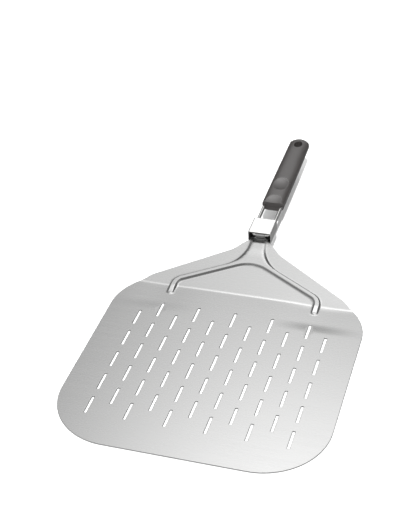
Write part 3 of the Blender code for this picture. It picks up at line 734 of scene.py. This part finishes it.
def sleeve_mesh():
    """Sheet folded into a box tube, open at both ends, with rounded-off rims and its seam underneath."""
    start, end, wall = SLEEVE_FRONT, SLEEVE_FRONT + SLEEVE_LENGTH, SLEEVE_WALL
    soft, softer, flat = SLEEVE_RIM_R, SLEEVE_RIM_R * 0.3, SLEEVE_RIM_R + SLEEVE_SUPPORT
    layers = [
        (wall - soft, start), (soft, start), (softer, start + softer), (0.0, start + soft),
        (0.0, start + flat), (0.0, end - flat),
        (0.0, end - soft), (softer, end - softer), (soft, end),
        (wall - soft, end), (wall - softer, end - softer), (wall, end - soft),
        (wall, end - flat), (wall, start + flat),
        (wall, start + soft), (wall - softer, start + softer),
    ]
    bm = bmesh.new()
    rows = [[bm.verts.new((x, y, z)) for x, z in sleeve_section(depth)] for depth, y in layers]
    for first, second in zip(rows, rows[1:] + rows[:1]):
        for k in range(len(first) - 1):
            bm.faces.new((first[k], first[k + 1], second[k + 1], second[k]))
    bm.faces.new([row[0] for row in rows])
    bm.faces.new([row[-1] for row in rows])
    return mesh_of(bm, "folded_sleeve", HANDLE)


# ---------------------------------------------------------------- grip

def power(value, exponent):
    return math.copysign(abs(value) ** exponent, value)


def grip_ring(y, width_share, height_share, squareness, shrink):
    """One section of the grip: superellipse halves above and below its widest line."""
    middle = (GRIP_TOP + GRIP_BOTTOM) / 2
    ring = []
    for k in range(GRIP_SIDES):
        angle = 2 * math.pi * k / GRIP_SIDES
        cos, sin = math.cos(angle), math.sin(angle)
        bulge = squareness if sin > 0 else GRIP_LOWER_SQUARENESS
        reach = GRIP_TOP - GRIP_WIDEST_Z if sin > 0 else GRIP_WIDEST_Z - GRIP_BOTTOM
        x = (GRIP_HALF_WIDTH - shrink) * width_share * power(cos, 2 / bulge)
        z = GRIP_WIDEST_Z + (reach - shrink) * power(sin, 2 / bulge)
        z = middle + (z - middle) * height_share
        ring.append((x, y, z - dimple_depth(x, y, z)))
    return ring


def dimple_depth(x, y, z):
    """How far the top is pressed in at this point: each dimple is the bottom of a large ball."""
    pressed = 0.0
    if z < GRIP_WIDEST_Z + 0.001:
        return pressed
    for middle, half_length, depth in DIMPLES:
        ball = (half_length ** 2 + depth ** 2) / (2 * depth)
        gap = ball ** 2 - x ** 2 - (y - middle) ** 2
        floor = GRIP_TOP - depth + ball - math.sqrt(gap) if gap > 0 else z
        pressed = max(pressed, z - floor)
    return pressed


def tail_width(left):
    """The width share this far from the tail's end: a circular arc, with its corners rounded off."""
    widest = 1 - GRIP_TAPER
    half = widest * GRIP_HALF_WIDTH
    radius = (half ** 2 + GRIP_TAIL_LENGTH ** 2) / (2 * GRIP_TAIL_LENGTH)
    arc = math.sqrt(radius ** 2 - (radius - left) ** 2) / half
    return widest * (1 - (1 - arc) ** GRIP_TAIL_CORNER)


def grip_rows():
    """(y, width share, height share, squareness, shrink) from the front face to the rounded tail."""
    rows = []
    for k in range(GRIP_EDGE_STEPS + 1):
        angle = math.pi / 2 * k / GRIP_EDGE_STEPS
        y = GRIP_FRONT + GRIP_EDGE_R * (1 - math.cos(angle))
        rows.append((y, 1.0, 1.0, GRIP_SQUARENESS, GRIP_EDGE_R * (1 - math.sin(angle))))
    start = GRIP_FRONT + GRIP_EDGE_R
    tail_start = GRIP_END - GRIP_TAIL_LENGTH
    for k in range(1, GRIP_STEPS + 1):
        share = k / GRIP_STEPS
        y = start + (tail_start - start) * share
        squareness = GRIP_SQUARENESS - GRIP_SQUARENESS_DROP * share
        rows.append((y, 1.0 - GRIP_TAPER * share ** 2, 1.0, squareness, 0.0))
    for k in range(1, GRIP_TAIL_STEPS + 1):
        left = GRIP_TAIL_LENGTH * (1 - k / GRIP_TAIL_STEPS) ** 2 + GRIP_TAIL_TIP
        height = 1.0 - GRIP_TAIL_DROP * (1 - left / GRIP_TAIL_LENGTH) ** 4
        squareness = GRIP_SQUARENESS - GRIP_SQUARENESS_DROP
        rows.append((GRIP_END - left, tail_width(left), height, squareness, 0.0))
    return rows


def grip_body():
    bm = bmesh.new()
    join_rings(bm, [[bm.verts.new(p) for p in grip_ring(*row)] for row in grip_rows()])
    return bm


def grip_half(name, plane_z, keep_above):
    """The grip above or below the parting plane, in the handle's frame."""
    bm = grip_body()
    bmesh.ops.recalc_face_normals(bm, faces=bm.faces)
    normal = (0, 0, -1) if keep_above else (0, 0, 1)
    everything = list(bm.verts) + list(bm.edges) + list(bm.faces)
    bmesh.ops.bisect_plane(
        bm, geom=everything, dist=1e-6, plane_co=(0, 0, plane_z), plane_no=normal, clear_outer=True
    )
    bmesh.ops.contextual_create(bm, geom=[edge for edge in bm.edges if edge.is_boundary])
    return mesh_of(bm, name)


def lathe(name, profile, sides, place):
    """A closed turned shape round Z from (radius, z) pairs, put in its place."""
    bm = bmesh.new()
    rings = []
    for radius, z in profile:
        ring = []
        for k in range(sides):
            angle = 2 * math.pi * k / sides
            ring.append(bm.verts.new((radius * math.cos(angle), radius * math.sin(angle), z)))
        rings.append(ring)
    join_rings(bm, rings)
    return mesh_of(bm, name, place)


def hole_cutter():
    """The hanging hole, flared where it meets the grip's top and bottom."""
    top, bottom = GRIP_TOP - HOLE_FLARE, GRIP_BOTTOM
    curve = []
    for k in range(7):
        angle = math.pi / 2 * k / 6
        curve.append((HOLE_R + HOLE_FLARE * (1 - math.sin(angle)), HOLE_FLARE * (1 - math.cos(angle))))
    profile = [(HOLE_R + HOLE_FLARE, bottom - HOLE_OVERSHOOT)]
    profile += [(radius, bottom + rise) for radius, rise in curve]
    profile += [(radius, top - rise) for radius, rise in reversed(curve)]
    profile.append((HOLE_R + HOLE_FLARE, top + HOLE_OVERSHOOT))
    place = Matrix.Translation((0.0, HOLE_Y, 0.0)) @ Matrix.Scale(HOLE_STRETCH, 4, (0.0, 1.0, 0.0))
    return lathe("hole_cutter", profile, HOLE_SIDES, place)


def channel_cutter(side):
    """The room for one leg of the wire."""
    profile = [(CHANNEL_R, -0.002), (CHANNEL_R, LEG_END - GRIP_FRONT + CHANNEL_R)]
    place = Matrix.Translation((side * LEG_X, GRIP_FRONT, 0.0)) @ Matrix.Rotation(-math.pi / 2, 4, "X")
    return lathe("channel_cutter", profile, CHANNEL_SIDES, place)


def box_cutter(low, high):
    bm = bmesh.new()
    bmesh.ops.create_cube(bm, size=1.0)
    size = Vector(high) - Vector(low)
    bmesh.ops.scale(bm, vec=size, verts=bm.verts)
    bmesh.ops.translate(bm, vec=(Vector(low) + Vector(high)) / 2, verts=bm.verts)
    return mesh_of(bm, "box_cutter")


def carve(mesh, cutters):
    """The mesh with every cutter's shape taken out of it."""
    obj = bpy.data.objects.new("carved", mesh)
    bpy.context.scene.collection.objects.link(obj)
    tools = []
    for shape in cutters:
        tool = bpy.data.objects.new("tool", shape)
        bpy.context.scene.collection.objects.link(tool)
        boolean = obj.modifiers.new("cut", "BOOLEAN")
        boolean.operation = "DIFFERENCE"
        boolean.solver = "EXACT"
        boolean.object = tool
        tools.append(tool)
    graph = bpy.context.evaluated_depsgraph_get()
    carved = bpy.data.meshes.new_from_object(obj.evaluated_get(graph))
    for used in [obj, *tools]:
        bpy.data.objects.remove(used, do_unlink=True)
    carved.transform(HANDLE)
    return carved


def upper_shell_mesh():
    half = grip_half("upper_shell", PARTING_GAP / 2, True)
    return carve(half, [hole_cutter(), channel_cutter(-1), channel_cutter(1)])


def lower_shell_mesh():
    half = grip_half("lower_shell", -PARTING_GAP / 2, False)
    tail = box_cutter((-0.02, LOWER_SHELL_END, -0.01), (0.02, GRIP_END + 0.01, 0.01))
    return carve(half, [hole_cutter(), channel_cutter(-1), channel_cutter(1), tail])


# ---------------------------------------------------------------- the CAD nodes that stay

def keep_node(name, finish, soften):
    """A CAD node that stays as it is, with its edges softened and its finish set."""
    obj = frame["nodes"][name]
    obj.data.materials.clear()
    obj.data.materials.append(finish)
    edge = obj.modifiers.new("soft_edges", "BEVEL")
    edge.width = soften
    edge.segments = 2
    edge.limit_method = "ANGLE"
    edge.angle_limit = math.radians(40)


# ---------------------------------------------------------------- floor, light and camera

def make_floor():
    bm = bmesh.new()
    bmesh.ops.create_grid(bm, x_segments=8, y_segments=8, size=FLOOR_HALF_SIZE)
    floor = bpy.data.objects.new("floor", mesh_of(bm, "floor"))
    bpy.context.scene.collection.objects.link(floor)
    floor.location.z = FLOOR_Z
    floor.visible_glossy = False
    finish, shader = new_material("floor_white", FLOOR_WHITE, 0.9, 0.0)
    shader.inputs["Specular IOR Level"].default_value = 0.1
    floor.data.materials.append(finish)


def lobe(tree, place, direction, sharpness, strength):
    """The brightness of a soft patch of light in the studio, round a direction."""
    facing = node(tree, "ShaderNodeVectorMath", operation="DOT_PRODUCT")
    facing.inputs[1].default_value = Vector(direction).normalized()
    tree.links.new(place, facing.inputs[0])
    towards = maths(tree, "MAXIMUM", facing.outputs["Value"], 0.0)
    return maths(tree, "MULTIPLY", maths(tree, "POWER", towards, sharpness), strength)


def make_light():
    """A key from the camera's side, and a dark studio with the soft patches of light in it."""
    key = bpy.data.lights.new("key", "SUN")
    key.energy = KEY_ENERGY
    key.angle = KEY_ANGLE
    lamp = bpy.data.objects.new("key", key)
    lamp.rotation_euler = Vector(KEY_FROM).to_track_quat("Z", "Y").to_euler()
    lamp.visible_glossy = False
    bpy.context.scene.collection.objects.link(lamp)

    world = bpy.data.worlds.new("studio")
    world.use_nodes = True
    bpy.context.scene.world = world
    tree = world.node_tree
    place = node(tree, "ShaderNodeTexCoord").outputs["Generated"]
    brightness = STUDIO_DARK
    for direction, sharpness, strength in STUDIO_LIGHTS:
        brightness = maths(tree, "ADD", lobe(tree, place, direction, sharpness, strength), brightness)
    tree.links.new(brightness, tree.nodes["Background"].inputs["Strength"])
    tree.nodes["Background"].inputs["Color"].default_value = (1.0, 1.0, 1.0, 1.0)


def make_camera():
    camera = bpy.data.cameras.new("camera")
    camera.lens = CAMERA_LENS
    camera.sensor_width = CAMERA_SENSOR
    view = bpy.data.objects.new("camera", camera)
    view.location = CAMERA_PLACE
    view.rotation_euler = [math.radians(angle) for angle in CAMERA_TURN]
    bpy.context.scene.collection.objects.link(view)
    bpy.context.scene.camera = view
    bpy.context.scene.view_settings.view_transform = "Standard"


# ---------------------------------------------------------------- the peel

def build():
    brushed = brushed_steel(
        "satin_sheet", (0.455, 0.455, 0.453), roughness=0.27, across=1500, along=26, grain_depth=0.0000006
    )
    polished = brushed_steel(
        "polished_rod", (0.88, 0.88, 0.87), roughness=0.16, across=900, along=60, grain_depth=0.000002
    )
    bright = brushed_steel(
        "bright_sleeve", (0.89, 0.89, 0.88), roughness=0.30, across=1800, along=20, grain_depth=0.000004
    )
    dark_grip = moulded_plastic(
        "grip_plastic", (0.032, 0.029, 0.028), roughness=0.33, grain=2600, grain_depth=0.000012, sheen=1.0
    )
    black = moulded_plastic(
        "guide_plastic", (0.015, 0.015, 0.015), roughness=0.45, grain=1800, grain_depth=0.00002, sheen=0.5
    )
    zinc = brushed_steel(
        "screw_zinc", (0.60, 0.60, 0.62), roughness=0.30, across=1200, along=1200, grain_depth=0.000004
    )

    add_piece("blade_sheet", blade_mesh(), "blade", brushed, "blade", 40)
    add_piece("wire_rod", wire_mesh(), "handle", polished, "handle_wire", 50)
    add_piece("folded_sleeve", sleeve_mesh(), "sleeve", bright, "lock_sleeve", 40)
    for name, mesh in (("upper_shell", upper_shell_mesh()), ("lower_shell", lower_shell_mesh())):
        add_piece(name, mesh, "handle", dark_grip, "grip_" + name, 38)
    keep_node("sleeve_guide", black, 0.0003)
    for name in ("screw_front", "screw_middle", "screw_rear"):
        keep_node(name, zinc, 0.0001)


build()
make_floor()
make_light()
make_camera()
